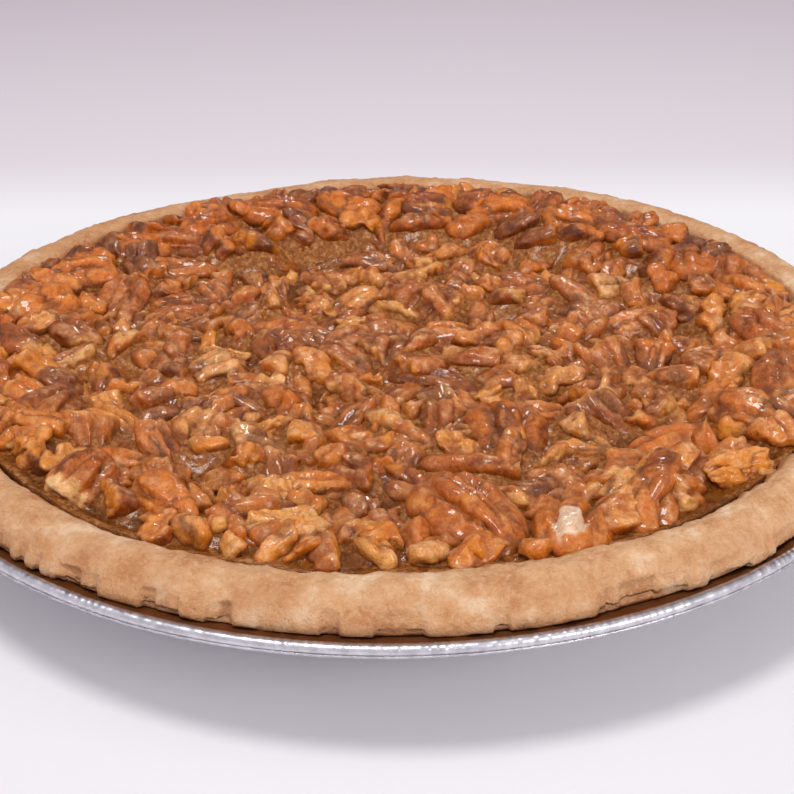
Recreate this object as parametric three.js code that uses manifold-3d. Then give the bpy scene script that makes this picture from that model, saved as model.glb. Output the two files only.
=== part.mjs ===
// A whole baked pecan pie in its foil tin: tin, pastry, nut filling and the larger pecans, in millimetres, +Z up.
// The origin is the centre of the tin's underside. Azimuth 0 is +X and -90 is the pie's front.
import * as THREE from "three";
import { mergeVertices } from "three/addons/utils/BufferGeometryUtils.js";
import Module from "manifold-3d";

const wasm = await Module();
wasm.setup();

// ---- Driving dimensions, mm -------------------------------------------------------------------
const SEGMENTS = 48;            // facets round every turned piece, so that nested walls keep an even gap
const GAP = 0.3;                // air between neighbouring pieces

const FOIL = 0.5;               // tin's wall
const BASE_RADIUS = 86;         // tin's flat underside
const WALL_TOP_RADIUS = 109.5;
const FLANGE_Z = 27;            // upper face of the tin's flat flange
const BEAD_RADIUS = 1.3;        // rolled edge
const BEAD_CENTRE = 120.7;
const BEAD_Z = 27.1;
const BASE_CORNER = 1.6;        // bevel between the underside and the wall
const FLANGE_CORNER = 1;        // bevel between the wall and the flange

const FLOOR_THICKNESS = 3.5;    // pastry under the filling
const CRUST_FLOOR_RADIUS = 83;
const CRUST_LIP_RADIUS = 105.4; // where the pastry's rim meets the filling
const CRUST_LIP_Z = 33.6;
const CRUST_CREST_Z = 35.4;
const CRUST_EDGE_RADIUS = 118;  // pastry's outer edge, just inside the rolled edge of the tin
const CRUST_EDGE_HEIGHT = 3.2;

const BANK_Z = 32.8;            // filling heaped against the pastry
const MIDDLE_Z = 26.6;          // sunken middle
const BANK_RADIUS = 97;
const BANK_RIPPLE = 0.9;
const SHORE_RADIUS = 78;        // foot of the bank
const EDGE_DROP = 2.4;          // fall from the bank to the pastry's lip
const LUMP_HEIGHT = 2.2;

const CRUST_FLOOR_Z = FOIL + GAP + FLOOR_THICKNESS;
const FILLING_TOP_LIMIT = CRUST_LIP_Z - 1; // where the pastry's smooth inner wall ends
const WALL_LEAN = (WALL_TOP_RADIUS - BASE_RADIUS) / FLANGE_Z;
const WALL_SECANT = Math.hypot(1, WALL_LEAN);

// ---- Colours ------------------------------------------------------------------------------------
const LOOKS = {
  foil: { color: 0xd2d0d6, roughness: 0.3, metalness: 1 },
  crust: { color: 0xd9a882, roughness: 0.85, metalness: 0 },
  filling: { color: 0x9a5626, roughness: 0.4, metalness: 0 },
  half: { color: 0x96482a, roughness: 0.35, metalness: 0 },
  piece: { color: 0xc88238, roughness: 0.4, metalness: 0 },
};

// ---- Small helpers ------------------------------------------------------------------------------
const degrees = (value) => (value * Math.PI) / 180;

function seededRandom(seed) {
  let state = seed;
  return () => {
    state = (state + 0x6d2b79f5) | 0;
    let t = Math.imul(state ^ (state >>> 15), 1 | state);
    t = (t + Math.imul(t ^ (t >>> 7), 61 | t)) ^ t;
    return ((t ^ (t >>> 14)) >>> 0) / 4294967296;
  };
}

// A smooth closed ripple round the pie, between about -1 and 1.
function ripple(azimuth, seed) {
  const waves = [3, 5, 8, 13, 21];
  return waves.reduce((sum, n, i) => sum + Math.sin(n * azimuth + seed * (i + 1)) / (i + 2), 0) / 1.2;
}

// Drops doubled vertices and the empty triangles at a turned piece's poles.
function welded(geometry) {
  const bare = geometry.index ? geometry.toNonIndexed() : geometry.clone();
  bare.deleteAttribute("normal");
  bare.deleteAttribute("uv");
  const merged = mergeVertices(bare, 1e-3);
  const corners = merged.index.array;
  const kept = [];
  for (let i = 0; i < corners.length; i += 3) {
    const [a, b, c] = corners.slice(i, i + 3);
    if (a !== b && b !== c && c !== a) {
      kept.push(a, b, c);
    }
  }
  merged.setIndex(kept);
  return merged;
}

function toManifold(geometry) {
  const solid = welded(geometry);
  return new wasm.Manifold(new wasm.Mesh({
    numProp: 3,
    vertProperties: new Float32Array(solid.attributes.position.array),
    triVerts: new Uint32Array(solid.index.array),
  }));
}

function fromManifold(solid) {
  const mesh = solid.getMesh();
  const geometry = new THREE.BufferGeometry();
  geometry.setAttribute("position", new THREE.BufferAttribute(new Float32Array(mesh.vertProperties), 3));
  geometry.setIndex(new THREE.BufferAttribute(new Uint32Array(mesh.triVerts), 1));
  geometry.computeVertexNormals();
  return geometry;
}

// Turns a profile of [radius, height, raggedness, height raggedness] points about +Z. The two last
// numbers let a point wander with the azimuth, in millimetres.
function turned(profile, seed) {
  const geometry = new THREE.LatheGeometry(profile.map(([r, z]) => new THREE.Vector2(r, z)), SEGMENTS);
  geometry.rotateX(Math.PI / 2);
  const position = geometry.attributes.position;
  for (let i = 0; i < position.count; i++) {
    const [radius, height, ragged = 0, wavy = 0] = profile[i % profile.length];
    const turn = Math.floor(i / profile.length) % SEGMENTS;
    const azimuth = (turn * 2 * Math.PI) / SEGMENTS;
    const r = radius + ragged * ripple(azimuth, seed + height);
    position.setXYZ(i, r * Math.cos(azimuth), r * Math.sin(azimuth), height + wavy * ripple(azimuth, seed));
  }
  return geometry;
}

function named(name, geometry, look) {
  const mesh = new THREE.Mesh(geometry, new THREE.MeshStandardMaterial(LOOKS[look]));
  mesh.name = name;
  return mesh;
}

// Radius of the tin's sloping wall at a height, moved in along its normal.
const wallRadius = (z, inset) => BASE_RADIUS + z * WALL_LEAN - inset * WALL_SECANT;

// Radius of the pastry's inner wall at a height.
function crustInside(z) {
  const share = (z - CRUST_FLOOR_Z) / (FILLING_TOP_LIMIT - CRUST_FLOOR_Z);
  return THREE.MathUtils.lerp(CRUST_FLOOR_RADIUS, CRUST_LIP_RADIUS - 0.4, share);
}

// ---- Foil tin ------------------------------------------------------------------------------------
// One face of the tin, from the middle of its floor to the flange, moved in along its normal.
function tinFace(inset) {
  const flange = FLANGE_Z - FOIL + inset;
  return [
    [0, inset],
    [BASE_RADIUS - BASE_CORNER - inset, inset],
    [wallRadius(BASE_CORNER + inset, inset), BASE_CORNER + inset],
    [wallRadius(flange - FLANGE_CORNER, inset), flange - FLANGE_CORNER],
    [wallRadius(flange, inset) + FLANGE_CORNER, flange],
  ];
}

function foilPan() {
  const beadStart = -140;
  const beadSweep = 300;
  const beadSteps = 6;
  const bead = Array.from({ length: beadSteps + 1 }, (_, i) => {
    const turn = degrees(beadStart + (beadSweep * i) / beadSteps);
    return [BEAD_CENTRE + BEAD_RADIUS * Math.cos(turn), BEAD_Z + BEAD_RADIUS * Math.sin(turn)];
  });
  const flangeEnd = [BEAD_CENTRE - BEAD_RADIUS - GAP, FLANGE_Z];
  return turned([...tinFace(0), ...bead, flangeEnd, ...tinFace(FOIL).reverse()], 0);
}

// ---- Pastry shell ----------------------------------------------------------------------------------
// The rim slopes out and down from its crest to a ragged edge on the tin's flange.
function pieCrust() {
  const underRim = FLANGE_Z + GAP;
  const rim = [
    [CRUST_EDGE_RADIUS - 0.6, underRim, 0.5],
    [CRUST_EDGE_RADIUS, underRim + 1.1, 0.7, 0.2],
    [CRUST_EDGE_RADIUS - 0.5, underRim + CRUST_EDGE_HEIGHT, 0.8, 0.4],
    [CRUST_EDGE_RADIUS - 3.5, CRUST_CREST_Z - 1.7, 0.4, 0.6],
    [CRUST_LIP_RADIUS + 5.4, CRUST_CREST_Z, 0.5, 0.7],
    [CRUST_LIP_RADIUS + 2, CRUST_CREST_Z - 0.6, 0.7, 0.6],
    [CRUST_LIP_RADIUS, CRUST_LIP_Z, 0.6, 0.3],
  ];
  const inside = [
    [crustInside(FILLING_TOP_LIMIT), FILLING_TOP_LIMIT],
    [CRUST_FLOOR_RADIUS, CRUST_FLOOR_Z],
    [0, CRUST_FLOOR_Z],
  ];
  return turned([...tinFace(FOIL + GAP), ...rim, ...inside], 2);
}

// ---- Nut filling -------------------------------------------------------------------------------------
// Height of the filling: a bank of nuts against the pastry and a sunken, lumpy middle.
function fillingHeight(x, y) {
  const r = Math.hypot(x, y);
  const shore = THREE.MathUtils.smoothstep(r, SHORE_RADIUS, BANK_RADIUS - 3);
  const edge = THREE.MathUtils.smoothstep(r, BANK_RADIUS + 2, CRUST_LIP_RADIUS);
  const lumps = Math.sin(x / 7.3 + 1.7 * Math.sin(y / 9.1)) + Math.cos(y / 6.1 + 1.3 * Math.sin(x / 8.7));
  const bank = BANK_Z + BANK_RIPPLE * ripple(Math.atan2(y, x), 5);
  const heaped = THREE.MathUtils.lerp(MIDDLE_Z, bank, shore);
  return heaped - EDGE_DROP * edge + 0.5 * LUMP_HEIGHT * lumps * (1 - edge);
}

function fillingBlock() {
  const floor = CRUST_FLOOR_Z + GAP;
  const lip = FILLING_TOP_LIMIT - 1.2;
  const inward = (z) => crustInside(z) - GAP * WALL_SECANT;
  const side = [[0, floor], [inward(floor), floor], [inward(lip), lip]];
  const rings = [100.5, 96, 90.5, 84.5, 76, 64, 50, 34, 17, 0];
  const profile = [...side, ...rings.map((r) => [r, 0])];
  const geometry = turned(profile, 0);
  const position = geometry.attributes.position;
  for (let i = 0; i < position.count; i++) {
    if (i % profile.length >= side.length) {
      position.setZ(i, fillingHeight(position.getX(i), position.getY(i)));
    }
  }
  return geometry;
}

// ---- Pecans --------------------------------------------------------------------------------------------
const GROOVE_DEPTH = 0.84;      // what a groove leaves of the kernel's height
const BELLY_DEPTH = 0.66;       // flatter side, as a share of the domed one
const NOSE_TAPER = 0.18;

// Half a kernel, 1 long, 1 wide and 1 high about its middle: a domed back with a ridge between two
// grooves, a flatter belly with one groove, and a nose narrower than its tail.
function pecanHalf() {
  const stations = [-0.76, -0.28, 0.24, 0.74];
  const around = 8;
  const points = [[-1, 0, 0]];
  for (const t of stations) {
    const fullness = Math.sqrt(1 - Math.abs(t) ** 2.6) * (1 - NOSE_TAPER * t);
    for (let k = 0; k < around; k++) {
      const turn = (k * 2 * Math.PI) / around;
      const up = Math.sin(turn);
      const ridge = Math.abs(up) > 0.99;
      const height = up > 0 ? up * (ridge ? 1 : GROOVE_DEPTH) : BELLY_DEPTH * up * (ridge ? GROOVE_DEPTH : 1);
      points.push([t, fullness * Math.cos(turn), fullness * height]);
    }
  }
  points.push([1, 0, -0.05]);
  const faces = [];
  const last = points.length - 1;
  for (let k = 0; k < around; k++) {
    const next = (k + 1) % around;
    faces.push(0, 1 + next, 1 + k);
    for (let s = 0; s + 1 < stations.length; s++) {
      const a = 1 + s * around + k;
      const b = 1 + s * around + next;
      faces.push(a, b, a + around, b, b + around, a + around);
    }
    faces.push(last, last - around + k, last - around + next);
  }
  const geometry = new THREE.BufferGeometry();
  geometry.setAttribute("position", new THREE.Float32BufferAttribute(points.flat(), 3));
  geometry.setIndex(faces);
  geometry.scale(0.5, 0.5, 0.5);
  return geometry;
}

const BREAKS = 6;
const DEEPEST_BREAK = 0.62;     // a flat break's distance from the middle, as a share of the radius

// A broken piece of kernel, 1 long, 1 wide and 1 high: a ball cut by a few flat breaks.
function pecanPiece(random) {
  const breaks = Array.from({ length: BREAKS }, () => {
    const normal = new THREE.Vector3(random() - 0.5, random() - 0.5, random() - 0.5).normalize();
    return { normal, reach: THREE.MathUtils.lerp(DEEPEST_BREAK, 0.92, random()) };
  });
  const geometry = new THREE.DodecahedronGeometry(1, 0);
  const position = geometry.attributes.position;
  const point = new THREE.Vector3();
  for (let i = 0; i < position.count; i++) {
    point.fromBufferAttribute(position, i);
    for (const { normal, reach } of breaks) {
      const out = point.dot(normal);
      if (out > reach) {
        point.multiplyScalar(reach / out);
      }
    }
    position.setXYZ(i, point.x, point.y, point.z);
  }
  geometry.scale(0.5, 0.5, 0.5);
  return geometry;
}

// The larger nuts: azimuth, radius, then length, width, height, then heading, roll and nose-up tilt.
const HALVES = [
  [-79, 86, 27, 16, 11, -56, 0, -4],
  [-57, 17, 22, 10, 9, -22, 35, 0],
  [-55, 47, 20, 16, 9, -78, 0, -6],
  [-87, 60, 17, 11, 8, -32, 0, 0],
  [-68, 97, 20, 14, 11, -104, 0, 14],
  [-53, 90, 21, 13, 9, -108, 70, 8],
  [-33, 77, 24, 10, 8, 20, -20, 4],
  [-21, 86, 20, 11, 8, 14, 15, 6],
  [-152, 75, 18, 12, 9, -35, 10, 0],
  [149, 66, 20, 12, 8, 5, 0, 0],
  [-121, 93, 20, 12, 8, -50, 60, 0],
  [-133, 97, 16, 11, 9, 62, 25, 12],
  [-105, 69, 17, 9, 8, 12, 30, 0],
];
const PIECES = [
  [-42, 30, 11, 8, 8, 20, 0, 0],
  [-22, 33, 11, 9, 11, 60, 0, 0],
  [-72, 43, 12, 9, 8, 15, 0, 0],
  [-41, 97, 15, 11, 9, 20, 0, 0],
  [-164, 84, 14, 8, 7, -40, 0, 0],
  [-105, 90, 21, 14, 10, 5, 0, 0],
  [-116, 78, 13, 11, 10, 40, 0, 0],
  [-93, 81, 16, 12, 9, 30, 0, 0],
  [172, 39, 14, 11, 8, 10, 0, 0],
  [-152, 37, 12, 10, 8, -20, 0, 0],
  [-127, 47, 12, 10, 9, 50, 0, 0],
  [-122, 14, 12, 10, 9, 0, 0, 0],
];
const RIM_NUTS = 16;            // more nuts spread round the sides and back of the bank
const RIM_START = -12;
const RIM_SWEEP = 206;
const MIDDLE_NUTS = 6;          // and over the back half of the middle
const MIDDLE_START = 20;
const MIDDLE_SWEEP = 150;

function spreadNuts() {
  const random = seededRandom(41);
  const between = (low, high) => low + (high - low) * random();
  const rows = [];
  for (let i = 0; i < RIM_NUTS; i++) {
    const azimuth = RIM_START + (RIM_SWEEP * i) / (RIM_NUTS - 1);
    const size = [between(17, 24), between(11, 14), between(8, 10)];
    const heading = azimuth + 90 + between(-50, 50);
    rows.push([azimuth, between(92, 98), ...size, heading, between(-30, 45), between(-8, 10)]);
  }
  for (let i = 0; i < MIDDLE_NUTS; i++) {
    const azimuth = MIDDLE_START + (MIDDLE_SWEEP * i) / (MIDDLE_NUTS - 1);
    const size = [between(14, 20), between(10, 12), between(7, 9)];
    rows.push([azimuth, between(28, 62), ...size, between(-60, 60), between(-25, 25), between(-5, 5)]);
  }
  return rows;
}

const CLEARANCE = 0.45;         // least air between two nuts
const PROUD = 0.02;             // how far above the filling a nut's middle lies, as a share of its height
const SHUFFLE = 1.1;            // how far a nut moves at each try to find room
const MOST_TRIES = 160;
const GOLDEN_ANGLE = degrees(137.508);

// Seats a nut in the filling as near its own place as its neighbours allow.
function seatNut(row, shape, neighbours) {
  const [azimuth, radius, length, width, height, heading, roll, noseUp] = row;
  const turn = new THREE.Euler(degrees(roll), degrees(-noseUp), degrees(heading), "ZYX");
  for (let attempt = 0; attempt < MOST_TRIES; attempt++) {
    const reach = SHUFFLE * Math.sqrt(attempt);
    const x = radius * Math.cos(degrees(azimuth)) + reach * Math.cos(attempt * GOLDEN_ANGLE);
    const y = radius * Math.sin(degrees(azimuth)) + reach * Math.sin(attempt * GOLDEN_ANGLE);
    const place = new THREE.Vector3(x, y, fillingHeight(x, y) + height * PROUD);
    const pose = (extra) => new THREE.Matrix4().compose(
      place,
      new THREE.Quaternion().setFromEuler(turn),
      new THREE.Vector3(length + extra, width + extra, height + extra),
    );
    const geometry = shape.clone().applyMatrix4(pose(0));
    const solid = toManifold(geometry);
    if (neighbours.every((other) => solid.minGap(other, 2 * CLEARANCE) >= CLEARANCE)) {
      return { solid, pocket: toManifold(shape.clone().applyMatrix4(pose(2 * GAP))).hull() };
    }
  }
  return null;
}

// ---- The pie ---------------------------------------------------------------------------------------------
const pie = new THREE.Group();
const crust = pieCrust();
pie.add(named("foil_pan", welded(foilPan()), "foil"));
pie.add(named("pie_crust", welded(crust), "crust"));

const neighbours = [toManifold(crust)];
let filling = toManifold(fillingBlock());
function addNuts(rows, label, look, shapeOf) {
  let count = 0;
  for (const row of rows) {
    const seated = seatNut(row, shapeOf(), neighbours);
    if (seated) {
      count += 1;
      neighbours.push(seated.solid);
      filling = filling.subtract(seated.pocket);
      pie.add(named(`${label}_${String(count).padStart(2, "0")}`, fromManifold(seated.solid), look));
    }
  }
}
const pieceRandom = seededRandom(7);
addNuts([...HALVES, ...spreadNuts()], "pecan_half", "half", pecanHalf);
addNuts(PIECES, "pecan_piece", "piece", () => pecanPiece(pieceRandom));

const body = filling.decompose().reduce((best, next) => (next.volume() > best.volume() ? next : best));
pie.add(named("nut_filling", fromManifold(body), "filling"));

export default pie;
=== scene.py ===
"""A whole pecan pie in its foil tin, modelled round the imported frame.

Shapes are worked out in millimetres in the frame's own axes, +Z up and the pie's front towards -Y,
and turned into metres where a mesh is made.
"""
import math

import bmesh
import bpy
import numpy as np
from mathutils import Matrix, Vector
from mathutils.bvhtree import BVHTree


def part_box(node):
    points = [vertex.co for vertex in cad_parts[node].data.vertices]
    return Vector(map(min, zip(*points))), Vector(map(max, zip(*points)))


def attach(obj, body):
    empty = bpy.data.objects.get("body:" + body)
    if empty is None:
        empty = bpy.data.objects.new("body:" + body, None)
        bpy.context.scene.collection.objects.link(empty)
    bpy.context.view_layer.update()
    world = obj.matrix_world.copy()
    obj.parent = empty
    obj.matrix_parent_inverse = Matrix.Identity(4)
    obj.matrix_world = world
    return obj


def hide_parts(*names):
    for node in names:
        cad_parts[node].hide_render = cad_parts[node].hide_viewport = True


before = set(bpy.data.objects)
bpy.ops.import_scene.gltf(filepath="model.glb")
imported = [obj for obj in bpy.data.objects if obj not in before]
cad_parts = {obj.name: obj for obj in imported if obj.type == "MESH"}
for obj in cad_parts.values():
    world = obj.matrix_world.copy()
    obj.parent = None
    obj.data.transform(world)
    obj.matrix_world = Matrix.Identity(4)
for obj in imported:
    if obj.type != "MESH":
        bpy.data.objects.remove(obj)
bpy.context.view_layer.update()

MM = 0.001
BODY = "root"
SEED = 20


# ---- Sizes from the frame ----------------------------------------------------------------------------
def box_mm(node):
    low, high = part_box(node)
    return np.array(low) / MM, np.array(high) / MM


TIN_HIGH = box_mm("foil_pan")[1]
CRUST_LOW, CRUST_HIGH = box_mm("pie_crust")
RIM_RADIUS = TIN_HIGH[0]
RIM_TOP = TIN_HIGH[2]
EDGE_RADIUS = (CRUST_HIGH[0] - CRUST_LOW[0]) / 2
CREST = CRUST_HIGH[2] - 0.3      # the rim's height before its unevenness
FILLING_RADIUS = box_mm("nut_filling")[1][0]
CRUST_FLOOR = [(82, 4.6), (0.1, 4.6), (0.1, 1.4)]   # the hidden floor, from its edge inward and down
SYRUP_FLOOR = [(83, 4.8), (0.5, 4.8)]               # the syrup's, just over it


# ---- Noise -------------------------------------------------------------------------------------------
def lattice(cell, seed):
    """A repeatable number from -1 to 1 for each whole-number cell."""
    n = cell.astype(np.int64)
    h = n[:, 0] * 374761393 + n[:, 1] * 668265263 + n[:, 2] * 1274126177 + seed * 974634777
    h = (h ^ (h >> 13)) & 0x7FFFFFFF
    h = (h * 1103515245 + 12345) & 0x7FFFFFFF
    h = (h ^ (h >> 16)) * 2246822519 & 0x7FFFFFFF
    return (h & 0xFFFFFF) / float(0x7FFFFF) - 1


def noise(points, size, seed=0):
    """Smooth noise from -1 to 1 whose lumps are about as large as size."""
    q = np.asarray(points, float) / size
    base = np.floor(q)
    f = q - base
    f = f * f * f * (f * (f * 6 - 15) + 10)
    total = np.zeros(len(q))
    for corner in np.ndindex(2, 2, 2):
        share = np.prod(np.where(corner, f, 1 - f), axis=1)
        total += share * lattice(base + corner, seed)
    return total


def layered(points, size, seed=0, layers=4, gain=0.5):
    """Layers of noise, each half as large as the one before, still within -1 to 1."""
    total, weight, norm = 0, 1, 0
    for i in range(layers):
        total = total + weight * noise(points, size / 2**i, seed + 17 * i)
        norm += weight
        weight *= gain
    return total / norm


def on_circle(azimuth, radius):
    """Points round a circle, so that noise read there closes on itself."""
    return np.stack([radius * np.cos(azimuth), radius * np.sin(azimuth), 0 * azimuth], axis=1)


def smoothstep(x, low, high):
    """0 up to low, 1 from high on, and eased between them."""
    t = np.clip((x - low) / (high - low), 0, 1)
    return t * t * (3 - 2 * t)


# ---- Meshes ------------------------------------------------------------------------------------------
def add_piece(name, vertices, faces, material, stands_for=(), attributes=None):
    """A mesh piece from vertices in millimetres and equal-sided faces. It rides on the pie."""
    mesh = bpy.data.meshes.new(name)
    vertices = np.asarray(vertices, np.float32) * MM
    faces = np.asarray(faces, np.int32)
    mesh.vertices.add(len(vertices))
    mesh.vertices.foreach_set("co", vertices.ravel())
    mesh.loops.add(faces.size)
    mesh.loops.foreach_set("vertex_index", faces.ravel())
    mesh.polygons.add(len(faces))
    mesh.polygons.foreach_set("loop_start", np.arange(0, faces.size, faces.shape[1], dtype=np.int32))
    mesh.update(calc_edges=True)
    mesh.polygons.foreach_set("use_smooth", np.ones(len(faces), bool))
    for key, values in (attributes or {}).items():
        layer = mesh.attributes.new(key, "FLOAT", "POINT")
        layer.data.foreach_set("value", np.asarray(values, np.float32))
    mesh.validate()
    mesh.materials.append(material)
    piece = bpy.data.objects.new(name, mesh)
    bpy.context.scene.collection.objects.link(piece)
    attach(piece, BODY)
    if stands_for:
        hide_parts(*stands_for)


def ring_faces(rows, columns, clockwise=False):
    """Quads of a grid of rows by columns of points that closes on itself both ways. They face outward
    when the section, drawn with radius to the right and height up, runs the way that is said."""
    r, c = np.meshgrid(np.arange(rows), np.arange(columns), indexing="ij")
    nr, nc = (r + 1) % rows, (c + 1) % columns
    quads = np.stack([r * columns + c, r * columns + nc, nr * columns + nc, nr * columns + c], axis=-1)
    quads = quads.reshape(-1, 4)
    return quads[:, ::-1] if clockwise else quads


def swept(line, steps):
    """A section's line of [radius, height] carried round the axis, with a row for each of its points."""
    azimuth = np.linspace(0, 2 * math.pi, steps, endpoint=False)
    radius, height = (np.repeat(line[:, k][:, None], steps, axis=1) for k in range(2))
    return azimuth, radius, height


def in_space(radius, azimuth, height):
    return np.stack([radius * np.cos(azimuth), radius * np.sin(azimuth), height], axis=-1)


def ball(subdivisions):
    """The vertices and triangles of a unit icosphere."""
    bm = bmesh.new()
    bmesh.ops.create_icosphere(bm, subdivisions=subdivisions, radius=1)
    points = np.array([v.co for v in bm.verts])
    faces = np.array([[v.index for v in f.verts] for f in bm.faces])
    bm.free()
    return points / np.linalg.norm(points, axis=1, keepdims=True), faces


def evenly(points, step):
    """Points about step apart along a line of [x, y] points."""
    points = np.asarray(points, float)
    lengths = np.concatenate([[0], np.cumsum(np.linalg.norm(np.diff(points, axis=0), axis=1))])
    at = np.linspace(0, lengths[-1], max(2, int(lengths[-1] / step) + 1))
    return np.stack([np.interp(at, lengths, points[:, k]) for k in range(2)], axis=1)


def rounded(points, passes=3):
    """Chaikin's corner cutting on a line of [x, y] points, ends kept."""
    points = np.asarray(points, float)
    for _ in range(passes):
        a, b = points[:-1], points[1:]
        cut = np.stack([0.75 * a + 0.25 * b, 0.25 * a + 0.75 * b], axis=1).reshape(-1, 2)
        points = np.concatenate([points[:1], cut[1:-1], points[-1:]])
    return points


# ---- Shader helpers ----------------------------------------------------------------------------------
class Shader:
    """A Principled material and short ways to add nodes to it."""

    def __init__(self, name, **values):
        self.material = bpy.data.materials.new(name)
        self.material.use_nodes = True
        self.tree = self.material.node_tree
        self.surface = self.tree.nodes["Principled BSDF"]
        for key, value in values.items():
            self.surface.inputs[key.replace("_", " ")].default_value = value
        self.where = self.tree.nodes.new("ShaderNodeTexCoord").outputs["Object"]

    def feed(self, socket, value):
        if isinstance(value, bpy.types.NodeSocket):
            self.tree.links.new(value, socket)
        else:
            socket.default_value = value

    def node(self, kind, settings=None, **inputs):
        made = self.tree.nodes.new(kind)
        for key, value in (settings or {}).items():
            setattr(made, key, value)
        for key, value in inputs.items():
            self.feed(made.inputs[key.replace("_", " ")], value)
        return made

    def noise(self, size_mm, detail=4, roughness=0.55):
        made = self.node("ShaderNodeTexNoise", Vector=self.where, Scale=1 / (size_mm * MM), Detail=detail,
                         Roughness=roughness)
        return made.outputs["Fac"]

    def attribute(self, name):
        return self.node("ShaderNodeAttribute", {"attribute_name": name}).outputs["Fac"]

    def math(self, operation, a, b=0.0, clamp=False):
        made = self.tree.nodes.new("ShaderNodeMath")
        made.operation = operation
        made.use_clamp = clamp
        self.feed(made.inputs[0], a)
        self.feed(made.inputs[1], b)
        return made.outputs[0]

    def spread(self, value, low, high, to_low=0.0, to_high=1.0):
        made = self.node("ShaderNodeMapRange", {"clamp": True}, Value=value, From_Min=low, From_Max=high,
                         To_Min=to_low, To_Max=to_high)
        return made.outputs["Result"]

    def ramp(self, value, stops):
        made = self.tree.nodes.new("ShaderNodeValToRGB")
        ramp = made.color_ramp
        while len(ramp.elements) < len(stops):
            ramp.elements.new(0.5)
        for element, (place, colour) in zip(ramp.elements, stops):
            element.position = place
            element.color = (*linear(colour), 1)
        self.feed(made.inputs["Fac"], value)
        return made.outputs["Color"]

    def mix(self, share, a, b):
        made = self.tree.nodes.new("ShaderNodeMix")
        made.data_type = "RGBA"
        self.feed(made.inputs["Factor"], share)
        for socket, value in ((made.inputs[6], a), (made.inputs[7], b)):
            self.feed(socket, value if isinstance(value, bpy.types.NodeSocket) else (*linear(value), 1))
        return made.outputs[2]

    def bump(self, *layers, socket="Normal"):
        """Adds layers of (height, depth in mm) one on another, and feeds the surface's socket."""
        normal = None
        for height, depth_mm in layers:
            made = self.node("ShaderNodeBump", Height=height, Distance=depth_mm * MM, Strength=1.0)
            if normal is not None:
                self.feed(made.inputs["Normal"], normal)
            normal = made.outputs["Normal"]
        self.feed(self.surface.inputs[socket], normal)


def linear(colour):
    """A 0-255 screen colour as the linear light that Blender works in."""
    c = np.asarray(colour, float) / 255
    return tuple(np.where(c <= 0.04045, c / 12.92, ((c + 0.055) / 1.055) ** 2.4))


# ---- Camera, floor and light -------------------------------------------------------------------------
CAMERA_PLACE = (0.8, -363.3, 203.9)     # mm
CAMERA_DOWN = math.radians(27.1)
CAMERA_ROLL = math.radians(-0.49)
CAMERA_LENS = 72.5              # mm, before a sensor 36 mm wide
TABLE_REACH = 4000              # mm


def add_camera():
    data = bpy.data.cameras.new("camera")
    data.lens = CAMERA_LENS
    data.sensor_width = 36
    data.clip_start = 0.01
    forward = Vector((0, math.cos(CAMERA_DOWN), -math.sin(CAMERA_DOWN)))
    level = Vector((1, 0, 0))
    above = level.cross(forward)
    right = level * math.cos(CAMERA_ROLL) + above * math.sin(CAMERA_ROLL)
    up = above * math.cos(CAMERA_ROLL) - level * math.sin(CAMERA_ROLL)
    camera = bpy.data.objects.new("camera", data)
    camera.matrix_world = Matrix((right, up, -forward)).transposed().to_4x4()
    camera.location = Vector(CAMERA_PLACE) * MM
    bpy.context.scene.collection.objects.link(camera)
    bpy.context.scene.camera = camera


def add_stage():
    """A pale table, a little darker at the front as painted shade, and greyer behind the pie."""
    mesh = bpy.data.meshes.new("table")
    corners = [Vector((x, y, 0)) * TABLE_REACH * MM for x, y in ((-1, -1), (1, -1), (1, 1), (-1, 1))]
    mesh.from_pydata(corners, [], [(0, 1, 2, 3)])
    look = Shader("table", Roughness=0.55)
    depth = look.node("ShaderNodeSeparateXYZ", Vector=look.where).outputs["Y"]
    # painted shade: the tint is a little darker towards the front
    tint = look.ramp(look.spread(depth, -0.3, 0.7), [(0.0, (234, 232, 235)), (0.4, (246, 245, 247)),
                                                     (0.48, (246, 245, 247)), (0.54, (227, 219, 225)),
                                                     (1.0, (188, 177, 185))])
    look.feed(look.surface.inputs["Base Color"], tint)
    mesh.materials.append(look.material)
    table = bpy.data.objects.new("table", mesh)
    bpy.context.scene.collection.objects.link(table)


def add_world(strength):
    """Soft light from all round, with a darker room behind the pie."""
    world = bpy.data.worlds.new("world")
    world.use_nodes = True
    tree = world.node_tree
    background = tree.nodes["Background"]
    background.inputs["Strength"].default_value = strength
    place = tree.nodes.new("ShaderNodeTexCoord")
    split = tree.nodes.new("ShaderNodeSeparateXYZ")
    ramp = tree.nodes.new("ShaderNodeValToRGB")
    tree.links.new(place.outputs["Generated"], split.inputs["Vector"])
    tree.links.new(split.outputs["Y"], ramp.inputs["Fac"])
    tree.links.new(ramp.outputs["Color"], background.inputs["Color"])
    room = [(0.0, (0.98, 0.95, 1.0, 1)), (0.65, (0.2, 0.18, 0.2, 1))]
    for element, (at, colour) in zip(ramp.color_ramp.elements, room):
        element.position = at
        element.color = colour
    bpy.context.scene.world = world


def add_light(name, place, aim, size, power, colour=(1, 1, 1)):
    data = bpy.data.lights.new(name, "AREA")
    data.shape = "DISK"
    data.size = size
    data.energy = power
    data.color = colour
    lamp = bpy.data.objects.new(name, data)
    lamp.location = place
    lamp.rotation_euler = (Vector(aim) - Vector(place)).to_track_quat("-Z", "Y").to_euler()
    bpy.context.scene.collection.objects.link(lamp)


def add_lights():
    add_world(0.73)
    add_light("overhead", (-0.26, -0.40, 1.5), (0, 0, 0), 0.4, 9.9)
    add_light("window", (0.95, -1.05, 0.7), (0, 0, 0.02), 0.6, 6.0, (1.0, 0.98, 0.97))
    add_light("glint", (0.05, 0.85, 0.8), (0, 0, 0.03), 0.12, 1.4)
    bpy.context.scene.view_settings.view_transform = "Standard"


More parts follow.
